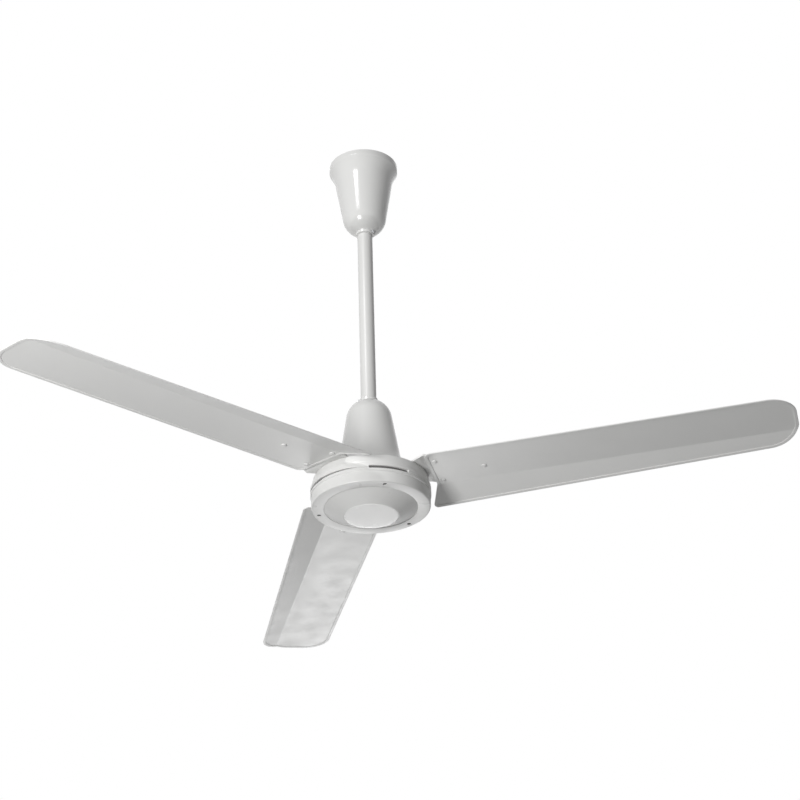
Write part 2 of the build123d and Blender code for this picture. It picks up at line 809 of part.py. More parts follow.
def rivet_places():
    return [(rivet_pair_r, -rivet_pair_t), (rivet_pair_r, rivet_pair_t), (rivet_nose_r, 0)]


def on_facet(r, t):
    """A frame on the wide facet's lower face, its Z square to the facet."""
    return Plane(origin=(r, t, wide_z(r, t)), z_dir=(-wide_droop, -wide_slope, 1)).location


def blade():
    sheet = folded_sheet(0, blade_thickness) & blade_plan(0)
    hem = (folded_sheet(-hem_drop, hem_drop + blade_thickness) & blade_plan(0)) - blade_plan(hem_width)
    body = sheet + hem
    for r, t in rivet_places():
        body -= on_facet(r, t) * Cylinder(rivet_radius + screw_gap, 20)
    return body


def rivets():
    high = blade_thickness + arm_thickness
    parts = []
    for r, t in rivet_places():
        head = Pos(0, 0, -rivet_head_height / 2) * Cylinder(rivet_head_radius, rivet_head_height)
        head = fillet(head.edges().sort_by(Axis.Z)[:1], rivet_head_height * 0.9)
        shank = rod_z(rivet_radius, -1, high + 1)
        tail = rod_z(rivet_head_radius - 0.6, high + 0.05, high + 1.4)
        parts.append(on_facet(r, t) * (head + shank + tail))
    return parts


# Arm: a flat pad on the motor, a short twist and the spade that carries the blade
def blade_arm():
    low = arm_bottom
    high = low + arm_thickness
    pad_points = [
        (arm_inner_r, -arm_pad_half_width),
        (arm_pad_end_r, -arm_wide_side_t),
        (arm_pad_end_r, arm_root_half_width),
        (arm_inner_r, arm_pad_half_width),
    ]
    pad_outline = FilletPolyline(*pad_points, radius=[arm_corner_radius, 0, 0, arm_corner_radius], close=True)
    arm = Pos(0, 0, low) * extrude(make_face(pad_outline), arm_thickness)

    def section(r, lows):
        left, right = lows
        near_t, far_t = -arm_wide_side_t, arm_root_half_width
        corners = [(r, near_t, left), (r, far_t, right), (r, far_t, right + arm_thickness)]
        corners.append((r, near_t, left + arm_thickness))
        return make_face(Polyline(*corners, close=True))

    spade_lift = blade_thickness
    ends = [wide_z(blade_root_r, t) + spade_lift for t in (-arm_wide_side_t, arm_root_half_width)]
    arm += loft([section(arm_pad_end_r, (low, low)), section(blade_root_r, ends)], ruled=True)
    start, nose, half = blade_root_r, arm_nose_r, arm_root_half_width
    wide = [(start, -arm_wide_side_t), (start, half), (nose, half), (nose, -arm_wide_side_t)]
    spade = facet(wide, wide_z, spade_lift, arm_thickness)
    plan_points = [
        (start, -arm_wide_side_t),
        (rivet_pair_r + 12, -half),
        (nose, -arm_nose_half_width),
        (nose, arm_nose_half_width),
        (rivet_pair_r + 12, half),
        (start, half),
    ]
    plan = make_face(FilletPolyline(*plan_points, radius=[0, 12, 7, 7, 12, 0], close=True))
    arm += spade & (Pos(0, 0, low - sheet_cut_reach) * extrude(plan, 2 * sheet_cut_reach))
    for side in (-1, 1):
        arm -= rod_z(arm_screw_radius + bolt_gap, low - 1, high + 1, x=arm_screw_r, y=side * arm_screw_t)
    for r, t in rivet_places():
        arm -= on_facet(r, t) * Cylinder(rivet_radius + screw_gap, 20)
    return arm


def arm_screws():
    seat = arm_bottom + arm_thickness
    screw = rod_z(arm_screw_head_radius, seat, seat + arm_screw_head_height)
    screw = fillet(screw.edges().sort_by(Axis.Z)[-1:], 1.2)
    screw += rod_z(arm_screw_radius, top - arm_screw_grip, seat + 1)
    screws = []
    for angle in arm_angles:
        for side in (-1, 1):
            screws.append(Rot(0, 0, angle) * Pos(arm_screw_r, side * arm_screw_t, 0) * screw)
    return group(screws)


save("ceiling_bracket", ceiling_bracket())
save("hanging_pin", hanging_pin())
save("hanging_nut", hanging_nut())
pin_tail_x = cheek_gap / 2 + cheek_thickness + nut_height + bolt_tail - split_pin_inset
bolt_tail_y = nut_height + bolt_tail - split_pin_inset
pin_end = 1.5
save("hanging_split_pin", Pos(pin_tail_x, 0, -pin_drop) * Rot(0, 0, 90) * split_pin(pin_radius + pin_end))
save("rubber_roller", rubber_roller())
save("top_strap", top_strap())
save("strap_bolt", Pos(0, 0, strap_bolt_z) * cross_bolt(strap_outer))
save("strap_nut", Pos(0, 0, strap_bolt_z) * cross_nut(strap_outer))
cross_pin = split_pin(cross_bolt_radius + pin_end)
save("strap_split_pin", Pos(0, strap_outer + bolt_tail_y, strap_bolt_z) * cross_pin)
save("down_rod", down_rod())
save("rod_socket", rod_socket())
save("rod_bolt", Pos(0, 0, rod_bolt_z) * cross_bolt(socket_outer))
save("rod_nut", Pos(0, 0, rod_bolt_z) * cross_nut(socket_outer))
save("rod_split_pin", Pos(0, socket_outer + bolt_tail_y, rod_bolt_z) * cross_pin)
save("socket_pin", socket_pin())
save("motor_shaft", motor_shaft())
save("wiring_plate", wiring_plate())
save("shaft_nut", shaft_nut())
save("capacitor", capacitor())
save("capacitor_clip", capacitor_clip())
save("clip_screw", clip_screw())
save("terminal_block", terminal_block())
save("terminal_screws", terminal_screws())

cover_shape = rod_cover()
screw_shape = set_screw()
upper_place = Pos(0, 0, upper_neck) * Rot(0, 0, -35)
lower_place = Pos(0, 0, lower_neck) * Rot(180, 0, 0) * Rot(0, 0, 170)
save("upper_cover", upper_place * cover_shape)
save("upper_set_screw", upper_place * screw_shape)
save("lower_cover", lower_place * cover_shape)
save("lower_set_screw", lower_place * screw_shape)

save("stator_core", stator_core())
save("stator_winding", stator_winding())
lower_bearing_below_top = bottom_bearing_below_top - bearing_width
for name, below_top in (("upper", top_bearing_below_top), ("lower", lower_bearing_below_top)):
    z = bearing_z(below_top)
    save(f"{name}_bearing_inner", race(shaft_bearing_radius, inner_race_radius, z))
    save(f"{name}_bearing_outer", race(outer_race_radius, bearing_outer_radius, z))
    save(f"{name}_bearing_balls", caged_balls(z))
save("rotor_core", rotor_core())
save("rotor_cage", rotor_cage())
save("motor_top_cover", top_cover())
save("motor_bottom_cover", bottom_cover())
save("centre_cap", centre_cap())
save("ring_screws", ring_screws())

blade_shape = blade()
arm_shape = blade_arm()
rivet_shapes = rivets()
all_rivets = []
for number, angle in enumerate(arm_angles, 1):
    turn = Rot(0, 0, angle)
    save(f"blade_{number}", turn * blade_shape)
    save(f"blade_arm_{number}", turn * arm_shape)
    all_rivets += [turn * rivet for rivet in rivet_shapes]
save("blade_rivets", group(all_rivets))
save("arm_screws", arm_screws())
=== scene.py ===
from math import pi

import bmesh
import bpy
import numpy as np
from mathutils import Matrix


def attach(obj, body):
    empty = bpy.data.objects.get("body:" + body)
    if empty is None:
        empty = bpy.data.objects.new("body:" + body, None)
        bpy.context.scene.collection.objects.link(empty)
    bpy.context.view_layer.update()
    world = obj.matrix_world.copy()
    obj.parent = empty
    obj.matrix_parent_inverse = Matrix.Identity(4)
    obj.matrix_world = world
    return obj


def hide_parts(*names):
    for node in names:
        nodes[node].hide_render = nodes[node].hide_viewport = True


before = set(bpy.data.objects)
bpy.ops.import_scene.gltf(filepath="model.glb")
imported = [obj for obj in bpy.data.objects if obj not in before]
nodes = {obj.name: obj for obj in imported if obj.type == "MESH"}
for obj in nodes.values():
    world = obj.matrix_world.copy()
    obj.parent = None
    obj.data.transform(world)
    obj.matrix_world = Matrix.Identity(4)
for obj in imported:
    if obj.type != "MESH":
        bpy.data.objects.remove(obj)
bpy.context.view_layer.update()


# The photographer's place: the camera stands well below the fan and looks up at it.
# The lens is a short telephoto, so that the blades keep their true taper.
camera_right = (0.99961081, -0.00218419, -0.0278112)
camera_up = (0.02319146, -0.4890105, 0.87196954)
camera_forward = (0.01550452, 0.87227516, 0.48876953)
camera_place = (0.0, -3.017698, -2.178536)

camera_data = bpy.data.cameras.new("photo_camera")
camera_data.lens = 90.953
camera_data.sensor_width = 36.0
camera = bpy.data.objects.new("photo_camera", camera_data)
bpy.context.scene.collection.objects.link(camera)
camera.matrix_world = Matrix([
    (right, up, -forward, place)
    for right, up, forward, place in zip(camera_right, camera_up, camera_forward, camera_place)
] + [(0, 0, 0, 1)])
bpy.context.scene.camera = camera
bpy.context.scene.view_settings.view_transform = "Standard"


# Studio light: a soft lamp in front on the left just below the blades, two behind, one above, and a dim room.
# The low lamps graze the undersides, and the upper one lights the rod and the covers.
def lamp(name, place, aim, width, power):
    """A square area lamp at a place, turned to face a point."""
    data = bpy.data.lights.new(name, "AREA")
    data.shape = "SQUARE"
    data.size = width
    data.energy = power
    item = bpy.data.objects.new(name, data)
    bpy.context.scene.collection.objects.link(item)
    away = Matrix.Translation(place).to_translation() - Matrix.Translation(aim).to_translation()
    item.matrix_world = Matrix.Translation(place) @ away.to_track_quat("Z", "Y").to_matrix().to_4x4()
    return item


fan_middle = (0.0, 0.0, -0.66)
lamp("lamp_front_left", (-0.951, -1.647, -1.278), fan_middle, 0.6, 29)
lamp("lamp_behind", (0.0, 2.473, -1.463), fan_middle, 0.5, 4.9)
lamp("lamp_behind_low", (0.0, 1.992, -2.331), fan_middle, 0.5, 4.5)
lamp("lamp_above", (-1.065, -1.844, 0.831), fan_middle, 0.5, 18.8)

world = bpy.data.worlds.new("pale_room")
bpy.context.scene.world = world
world.use_nodes = True
tree = world.node_tree
tree.nodes.clear()
ray = tree.nodes.new("ShaderNodeLightPath")
direct = tree.nodes.new("ShaderNodeMath")
direct.operation = "MAXIMUM"
shows_white = tree.nodes.new("ShaderNodeMath")
shows_white.operation = "MAXIMUM"
room_light = tree.nodes.new("ShaderNodeBackground")
room_light.inputs["Color"].default_value = (1.0, 1.0, 1.0, 1)
room_light.inputs["Strength"].default_value = 0.11
white_back = tree.nodes.new("ShaderNodeBackground")
white_back.inputs["Color"].default_value = (1, 1, 1, 1)
white_back.inputs["Strength"].default_value = 1.0
blend = tree.nodes.new("ShaderNodeMixShader")
world_out = tree.nodes.new("ShaderNodeOutputWorld")
tree.links.new(ray.outputs["Is Camera Ray"], direct.inputs[0])
tree.links.new(ray.outputs["Is Transmission Ray"], direct.inputs[1])
tree.links.new(direct.outputs[0], shows_white.inputs[0])
tree.links.new(ray.outputs["Is Glossy Ray"], shows_white.inputs[1])
tree.links.new(shows_white.outputs[0], blend.inputs[0])
tree.links.new(room_light.outputs[0], blend.inputs[1])
tree.links.new(white_back.outputs[0], blend.inputs[2])
tree.links.new(blend.outputs[0], world_out.inputs["Surface"])


# Floor of the studio: a wide matt white sheet far below the fan, not part of the object.
# It sends soft light back up to the undersides.
floor_half = 6.0
floor_height = -2.9
floor_mesh = bpy.data.meshes.new("studio_floor")
corner = floor_half * np.array([(-1, -1), (1, -1), (1, 1), (-1, 1)], float)
floor_points = np.column_stack([corner, np.full(4, floor_height)])
floor_mesh.from_pydata(floor_points.tolist(), [], [(0, 1, 2, 3)])
floor = bpy.data.objects.new("studio_floor", floor_mesh)
bpy.context.scene.collection.objects.link(floor)
floor_paint = bpy.data.materials.new("matt_white_sheet")
floor_paint.use_nodes = True
floor_paint.node_tree.nodes["Principled BSDF"].inputs["Base Color"].default_value = (0.9, 0.9, 0.9, 1)
floor_paint.node_tree.nodes["Principled BSDF"].inputs["Roughness"].default_value = 0.9
floor_mesh.materials.append(floor_paint)


# Down rod: a length of 3/4 inch steel pipe, painted white with the fan.
# Its ends are cut square and hidden in the two covers, where cross bolts hold it.
rod_radius, rod_bore = 13.35, 10.75
rod_top, rod_bottom = -91.0, -548.0
rod_bore_round, rod_edge_round = 0.4, 0.8
millimetre = 0.001


def node_input(item, name, value):
    """Sets one socket of a node, by name."""
    item.inputs[name].default_value = value


def shader_group(name, inputs, outputs):
    """A new node group with named number inputs and outputs."""
    group = bpy.data.node_groups.new(name, "ShaderNodeTree")
    for label, start in inputs:
        socket = group.interface.new_socket(label, in_out="INPUT", socket_type="NodeSocketFloat")
        socket.default_value = start
    for label in outputs:
        group.interface.new_socket(label, in_out="OUTPUT", socket_type="NodeSocketFloat")
    enter = group.nodes.new("NodeGroupInput")
    leave = group.nodes.new("NodeGroupOutput")
    return group, enter, leave


def math_node(tree, kind, first, second, clamp=False):
    """A Math node whose two inputs are sockets or plain numbers."""
    item = tree.nodes.new("ShaderNodeMath")
    item.operation = kind
    item.use_clamp = clamp
    for place, value in enumerate((first, second)):
        if isinstance(value, (int, float)):
            item.inputs[place].default_value = value
        else:
            tree.links.new(value, item.inputs[place])
    return item.outputs[0]


def noise_node(tree, scale, detail=2.0, stretch=None, roughness=0.5):
    """A noise value read in the piece's own coordinates, in metres, that may be stretched on each axis."""
    where = tree.nodes.new("ShaderNodeTexCoord").outputs["Object"]
    if stretch:
        mapping = tree.nodes.new("ShaderNodeMapping")
        node_input(mapping, "Scale", stretch)
        tree.links.new(where, mapping.inputs["Vector"])
        where = mapping.outputs["Vector"]
    noise = tree.nodes.new("ShaderNodeTexNoise")
    tree.links.new(where, noise.inputs["Vector"])
    if isinstance(scale, (int, float)):
        node_input(noise, "Scale", scale)
    else:
        tree.links.new(scale, noise.inputs["Scale"])
    node_input(noise, "Detail", detail)
    node_input(noise, "Roughness", roughness)
    return noise.outputs["Fac"]


def build_coat_group():
    """Sprayed coat: fine orange peel over slow waves, a cloudy tone, and dust that lies on what faces up."""
    group, enter, leave = shader_group(
        "sprayed_coat", [("Peel Size", 620.0), ("Dust", 0.3)], ["Height", "Tone", "Dust Mask", "Polish"]
    )
    peel = noise_node(group, enter.outputs["Peel Size"], 1.0)
    wave = noise_node(group, 60.0, 1.0)
    fine, slow = math_node(group, "MULTIPLY", peel, 0.75), math_node(group, "MULTIPLY", wave, 0.5)
    height = math_node(group, "ADD", fine, slow)
    group.links.new(height, leave.inputs["Height"])
    cloud = noise_node(group, 7.0, 4.0, roughness=0.6)
    group.links.new(cloud, leave.inputs["Tone"])
    geometry = group.nodes.new("ShaderNodeNewGeometry")
    split = group.nodes.new("ShaderNodeSeparateXYZ")
    group.links.new(geometry.outputs["Normal"], split.inputs[0])
    faces_up = math_node(group, "MULTIPLY", math_node(group, "SUBTRACT", split.outputs["Z"], 0.25), 1.6, True)
    speck = noise_node(group, 240.0, 5.0, roughness=0.7)
    patchy = math_node(group, "MULTIPLY", math_node(group, "SUBTRACT", speck, 0.32), 2.4, True)
    dust = math_node(group, "MULTIPLY", math_node(group, "MULTIPLY", faces_up, patchy), enter.outputs["Dust"])
    group.links.new(dust, leave.inputs["Dust Mask"])
    smear = noise_node(group, 26.0, 3.0, stretch=(1.0, 1.0, 0.35))
    group.links.new(smear, leave.inputs["Polish"])
    return group


coat_group = build_coat_group()


def colour_blend(tree, mask, low, high):
    """A colour that runs from low to high with a mask; each end is a colour or a socket."""
    item = tree.nodes.new("ShaderNodeMix")
    item.data_type = "RGBA"
    tree.links.new(mask, item.inputs["Factor"])
    for socket, value in ((item.inputs[6], low), (item.inputs[7], high)):
        if isinstance(value, tuple):
            socket.default_value = (*value, 1)
        else:
            tree.links.new(value, socket)
    return item.outputs[2]


def value_range(tree, value, low, high):
    """A 0 to 1 value brought to the range low to high."""
    item = tree.nodes.new("ShaderNodeMapRange")
    tree.links.new(value, item.inputs["Value"])
    node_input(item, "From Min", 0.25)
    node_input(item, "From Max", 0.75)
    node_input(item, "To Min", low)
    node_input(item, "To Max", high)
    return item.outputs["Result"]


def add_bump(tree, shader, height, depth, strength=1.0):
    """A bump of a real depth, in metres, on the shader's normal."""
    bump = tree.nodes.new("ShaderNodeBump")
    node_input(bump, "Distance", depth)
    node_input(bump, "Strength", strength)
    tree.links.new(height, bump.inputs["Height"])
    tree.links.new(bump.outputs["Normal"], shader.inputs["Normal"])
    return bump


def painted(name, light, shade, polish, peel_size, peel_depth, dust, streak=None, coat=0.0):
    """Paint or gloss moulding: two close tones, peel, faint smears and dust, with optional turned streaks."""
    material = bpy.data.materials.new(name)
    material.use_nodes = True
    tree = material.node_tree
    shader = tree.nodes["Principled BSDF"]
    node_input(shader, "IOR", 1.5)
    node_input(shader, "Coat Weight", coat)
    node_input(shader, "Coat Roughness", 0.06)
    coat_look = tree.nodes.new("ShaderNodeGroup")
    coat_look.node_tree = coat_group
    node_input(coat_look, "Peel Size", peel_size)
    node_input(coat_look, "Dust", dust)
    tone = colour_blend(tree, coat_look.outputs["Tone"], shade, light)
    dusty = colour_blend(tree, coat_look.outputs["Dust Mask"], tone, (0.42, 0.40, 0.37))
    tree.links.new(dusty, shader.inputs["Base Color"])
    rough = value_range(tree, coat_look.outputs["Polish"], *polish)
    dulled = math_node(tree, "MULTIPLY", coat_look.outputs["Dust Mask"], 0.5)
    rough = math_node(tree, "ADD", rough, dulled, True)
    tree.links.new(rough, shader.inputs["Roughness"])
    height = coat_look.outputs["Height"]
    if streak:
        lines = noise_node(tree, 1.0, 2.0, stretch=streak)
        height = math_node(tree, "ADD", height, math_node(tree, "MULTIPLY", lines, 1.6))
    add_bump(tree, shader, height, peel_depth)
    return material


def skin(name, sheets, sharp=35.0):
    """One mesh of several grids of points in millimetres, each (rows, columns, 3) with its wrap flags."""
    points, faces, start = [], [], 0
    for grid, wrap_rows, wrap_columns in sheets:
        rows, columns = grid.shape[:2]
        index = np.arange(rows * columns).reshape(rows, columns) + start
        if wrap_rows:
            index = np.vstack([index, index[:1]])
        if wrap_columns:
            index = np.hstack([index, index[:, :1]])
        quads = np.stack([index[:-1, :-1], index[:-1, 1:], index[1:, 1:], index[1:, :-1]], -1)
        points.append(grid.reshape(-1, 3))
        faces.append(quads.reshape(-1, 4))
        start += rows * columns
    mesh = bpy.data.meshes.new(name)
    mesh.from_pydata((np.vstack(points) * millimetre).tolist(), [], np.vstack(faces).tolist())
    work = bmesh.new()
    work.from_mesh(mesh)
    bmesh.ops.remove_doubles(work, verts=work.verts, dist=2e-6)
    bmesh.ops.dissolve_degenerate(work, edges=work.edges, dist=1e-6)
    bmesh.ops.recalc_face_normals(work, faces=work.faces)
    work.to_mesh(mesh)
    work.free()
    mesh.shade_smooth()
    mesh.set_sharp_from_angle(angle=sharp * pi / 180)
    item = bpy.data.objects.new(name, mesh)
    bpy.context.scene.collection.objects.link(item)
    return item


def finish_piece(item, material, body, slot, *replaced):
    """Paints a piece, lets it ride on its body and lets it stand for the CAD pieces it shows."""
    item.data.materials.clear()
    item.data.materials.append(material)
    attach(item, body)
    if replaced:
        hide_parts(*replaced)
    return item


def rounded(corners, closed=False, steps=6):
    """A profile through (radius, z, fillet) corners: each corner becomes an arc tangent to both its sides."""
    line = []
    count = len(corners)
    for k, (x, z, fillet) in enumerate(corners):
        here = np.array((x, z), float)
        if fillet <= 0 or (not closed and k in (0, count - 1)):
            line.append(here[None])
            continue
        before = np.array(corners[k - 1][:2], float) - here
        after = np.array(corners[(k + 1) % count][:2], float) - here
        before /= np.linalg.norm(before)
        after /= np.linalg.norm(after)
        half = np.arccos(np.clip(before @ after, -1, 1)) / 2
        centre = here + (before + after) / np.linalg.norm(before + after) * fillet / np.sin(half)
        start = here + before * fillet / np.tan(half) - centre
        end = here + after * fillet / np.tan(half) - centre
        share = np.linspace(0, 1, steps + 1)[:, None]
        arc = start * (1 - share) + end * share
        line.append(centre + arc * fillet / np.linalg.norm(arc, axis=1, keepdims=True))
    return np.vstack(line)


def turned(profile, steps=128, angles=None):
    """A profile of (radius, z) carried round Z: x = r cos a, y = r sin a."""
    if angles is None:
        angles = np.arange(steps) * 2 * pi / steps
    radius, height = profile[:, 0][None], profile[:, 1][None]
    grid = [np.cos(angles)[:, None] * radius, np.sin(angles)[:, None] * radius, height + 0 * angles[:, None]]
    return np.stack(grid, -1)


enamel = painted(
    "white_enamel", (0.80, 0.80, 0.79), (0.77, 0.77, 0.755), (0.28, 0.40), 900.0, 0.00006, 0.35
)
rod_line = rounded([
    (rod_bore, rod_bottom, rod_bore_round), (rod_radius, rod_bottom, rod_edge_round),
    (rod_radius, rod_top, rod_edge_round), (rod_bore, rod_top, rod_bore_round),
], closed=True)
rod = skin("rod_tube", [(turned(rod_line, 96), True, True)])
finish_piece(rod, enamel, "stem", "white_paint", "down_rod")


# Bell covers: one gloss white moulding used at both ends of the rod, wide rim outward.
# Each is turned to a thin even wall, with a short collar that a small screw clamps to the rod.
neck_radius, neck_height, cover_bore = 16.2, 5.5, 13.65
dome_radius, dome_offset, dome_centre = 36.0, 3.3, 39.3
cone_start = (38.8, 33.5)
cone_end = (50.9, 108.0)
flare_middle = (54.5, 122.5)
rim_radius, flare_end, cover_height, cover_wall = 61.6, 137.0, 147.0, 1.6
rim_round, collar_round, collar_foot_round, collar_depth = 0.7, 0.7, 0.9, 9.1
upper_neck, lower_neck = -149.0, -487.0
upper_screw_turn, lower_screw_turn = -35.0, 190.0


def arc_through(first, middle, last, steps):
    """Points on the circle through three points, from the first to the last."""
    (ax, ay), (bx, by), (cx, cy) = first, middle, last
    double = 2 * (ax * (by - cy) + bx * (cy - ay) + cx * (ay - by))
    a2, b2, c2 = ax * ax + ay * ay, bx * bx + by * by, cx * cx + cy * cy
    centre = np.array([
        (a2 * (by - cy) + b2 * (cy - ay) + c2 * (ay - by)) / double,
        (a2 * (cx - bx) + b2 * (ax - cx) + c2 * (bx - ax)) / double,
    ])
    start, end = np.array(first) - centre, np.array(last) - centre
    a0, a1 = np.arctan2(start[1], start[0]), np.arctan2(end[1], end[0])
    turn = (a1 - a0 + pi) % (2 * pi) - pi
    angle = a0 + turn * np.linspace(0, 1, steps)
    return centre + np.hypot(*start) * np.column_stack([np.cos(angle), np.sin(angle)])


def cover_line(inset):
    """The bell's side from collar to rim at an inset from its outer face."""
    low = neck_height + inset
    heights = np.linspace(low, cone_start[1], 18)
    dome = dome_offset + np.sqrt((dome_radius - inset) ** 2 - (dome_centre - heights) ** 2)
    cone_heights = np.linspace(cone_start[1], cone_end[1], 10)[1:-1]
    cone = np.interp(cone_heights, (cone_start[1], cone_end[1]), (cone_start[0], cone_end[0])) - inset
    flare = arc_through(cone_end, flare_middle, (rim_radius, flare_end), 12) - (inset, 0)
    return np.vstack([np.column_stack([dome, heights]), np.column_stack([cone, cone_heights]), flare])


def cover_profile():
    """The closed section: collar, outer bell, rounded rim, then back inside."""
    collar_out = rounded([
        (cover_bore, 0.0, 0), (neck_radius, 0.0, collar_round), (neck_radius, neck_height, collar_foot_round),
        (neck_radius + 4, neck_height + 0.15, 0),
    ])[:-1]
    outer = cover_line(0.0)[1:]
    rim = rounded([
        (rim_radius, flare_end + 1, 0), (rim_radius, cover_height, rim_round),
        (rim_radius - cover_wall, cover_height, rim_round), (rim_radius - cover_wall, flare_end + 1, 0),
    ])
    inner = cover_line(cover_wall)[::-1]
    collar_in = np.array([
        (neck_radius, neck_height + cover_wall + 0.3), (neck_radius, collar_depth),
        (cover_bore, collar_depth),
    ])
    return np.vstack([collar_out, outer, rim, inner[:-1], collar_in])


gloss_white = painted(
    "gloss_white_moulding", (0.80, 0.80, 0.79), (0.785, 0.785, 0.77), (0.13, 0.22), 300.0, 0.00003, 0.30,
    coat=0.35,
)
bell = cover_profile()
upper = skin("upper_bell_cover", [(turned(bell + (0, upper_neck), 144), True, True)], 50)
finish_piece(upper, gloss_white, "upper_canopy", "white_plastic", "upper_cover")
hanging_bell = np.column_stack([bell[:, 0], lower_neck - bell[:, 1]])
lower = skin("lower_bell_cover", [(turned(hanging_bell, 144), True, True)], 50)
finish_piece(lower, gloss_white, "lower_canopy", "white_plastic", "lower_cover")


# Set screws: small zinc-plated socket screws through the collars of the two covers.
# Each is run in until its tip bears on the rod.
set_head_radius, set_head_height, set_shank, rod_gap = 2.6, 2.6, 1.5, 0.1
set_socket_half, set_socket_depth = 1.1, 1.3


def placed(grid, origin, axis):
    """A grid drawn about its own Z, moved so that Z runs along an axis from an origin."""
    axis = np.array(axis, float) / np.linalg.norm(axis)
    side = np.cross(axis, (0, 0, 1)) if abs(axis[2]) < 0.9 else np.cross(axis, (0, 1, 0))
    side /= np.linalg.norm(side)
    other = np.cross(axis, side)
    return np.array(origin) + grid[..., :1] * side + grid[..., 1:2] * other + grid[..., 2:] * axis


def socket_screw(head_radius, head_height, across, depth, shank_radius, shank_length, edge=0.5, steps=48):
    """A round head with a hexagon socket on a plain shank; Z points out of the head, 0 is its seat.

    The socket's radius at angle a is across / cos(a folded into one sixth), and all else is turned."""
    angle = np.arange(steps) * 2 * pi / steps
    fold = (angle + pi / 6) % (pi / 3) - pi / 6
    hexagon = across / np.cos(fold)
    line = rounded([
        (0, -shank_length, 0), (shank_radius, -shank_length, shank_radius * 0.3), (shank_radius, 0, 0),
        (head_radius, 0, 0.15), (head_radius, head_height, edge), (across * 1.3, head_height, 0),
    ])
    outside = turned(line, angles=angle)
    low = head_height - depth
    rings = [(1.06, head_height), (1.0, head_height - 0.12), (1.0, low), (0.0, low)]
    inside = np.stack([
        np.stack([hexagon * share * np.cos(angle), hexagon * share * np.sin(angle), 0 * angle + z], -1)
        for share, z in rings
    ], 1)
    return np.concatenate([outside, inside], 1)


def build_metal_group():
    """Worn plated metal: fine draw lines, clouded plating and small dull spots."""
    group, enter, leave = shader_group("plated_metal", [("Line Size", 1.0)], ["Height", "Tone", "Spots"])
    lines = noise_node(group, 1.0, 3.0, stretch=(900.0, 900.0, 60.0))
    cross = noise_node(group, 1500.0, 1.0)
    both = math_node(group, "ADD", math_node(group, "MULTIPLY", lines, enter.outputs["Line Size"]), cross)
    group.links.new(both, leave.inputs["Height"])
    group.links.new(noise_node(group, 90.0, 5.0, roughness=0.65), leave.inputs["Tone"])
    spot = noise_node(group, 420.0, 3.0, roughness=0.6)
    spots = math_node(group, "MULTIPLY", math_node(group, "SUBTRACT", spot, 0.6), 5.0, True)
    group.links.new(spots, leave.inputs["Spots"])
    return group


metal_group = build_metal_group()


def plated(name, light, shade, spot_colour, polish, line_size=1.0, depth=0.00001, metallic=1.0):
    """Plated or bare metal with two tones, dull spots and fine lines."""
    material = bpy.data.materials.new(name)
    material.use_nodes = True
    tree = material.node_tree
    shader = tree.nodes["Principled BSDF"]
    node_input(shader, "Metallic", metallic)
    look = tree.nodes.new("ShaderNodeGroup")
    look.node_tree = metal_group
    node_input(look, "Line Size", line_size)
    tone = colour_blend(tree, look.outputs["Tone"], shade, light)
    tree.links.new(colour_blend(tree, look.outputs["Spots"], tone, spot_colour), shader.inputs["Base Color"])
    rough = value_range(tree, look.outputs["Tone"], *polish)
    rough = math_node(tree, "ADD", rough, math_node(tree, "MULTIPLY", look.outputs["Spots"], 0.25), True)
    tree.links.new(rough, shader.inputs["Roughness"])
    add_bump(tree, shader, look.outputs["Height"], depth)
    return material


zinc = plated("bright_zinc", (0.68, 0.69, 0.70), (0.52, 0.53, 0.55), (0.40, 0.39, 0.37), (0.22, 0.42))
set_screw = socket_screw(
    set_head_radius, set_head_height, set_socket_half, set_socket_depth, set_shank,
    neck_radius - rod_radius - rod_gap, 0.5,
)


def collar_screw(name, turn, middle, body, node):
    """A set screw at an angle about Z, with its head on the collar."""
    out = np.array((np.cos(turn * pi / 180), np.sin(turn * pi / 180), 0.0))
    item = skin(name, [(placed(set_screw, out * neck_radius + (0, 0, middle), out), True, False)])
    finish_piece(item, zinc, body, "zinc_steel", node)


collar_screw(
    "upper_collar_screw", upper_screw_turn, upper_neck + neck_height / 2, "upper_canopy", "upper_set_screw"
)
collar_screw(
    "lower_collar_screw", lower_screw_turn, lower_neck - neck_height / 2, "lower_canopy", "lower_set_screw"
)


# Motor housing: two cast shells turned on a lathe and painted, clamped together at the seam.
# Four long air slots are left between them, half in each shell, with rolled lips.
motor_top, seam, ring_height, cone_low = -640.0, -666.0, -692.5, -707.5
wall_inner, top_wall, bottom_wall, lip_radius, band_radius = 97.3, 99.3, 99.6, 100.2, 101.0
shaft_hole, crown_radius, crown_round, crown_foot = 10.0, 96.1, 3.6, -655.0
top_inside, top_inside_edge, upper_seat, upper_hub_end = -642.8, -645.8, -641.5, -653.5
seam_gap = 0.1
slot_half_height, slot_half_arc, slot_end_arc = 2.3, 20.0, 1.6
run_out_half_height, run_out_from, run_out_arc = 1.4, 216.0, 40.0
slot_middles = np.array([288.6, 18.6, 108.6, 198.6])
first_arm = -14.95
arm_turns = [first_arm, first_arm + 120, first_arm + 240]
band_half = 8.0
housing_bore, hub_outer = 20.0, 24.0


def housing_angles():
    """Angles round the housing, close together at the slots' ends, in degrees."""
    even = np.arange(0, 360, 2.5)
    ends = np.concatenate([slot_middles - slot_half_arc, slot_middles + slot_half_arc])
    near = (ends[:, None] + np.linspace(-2.0, 2.0, 17)[None]).ravel()
    return np.unique(np.round(np.concatenate([even, near]) % 360, 4)) * pi / 180


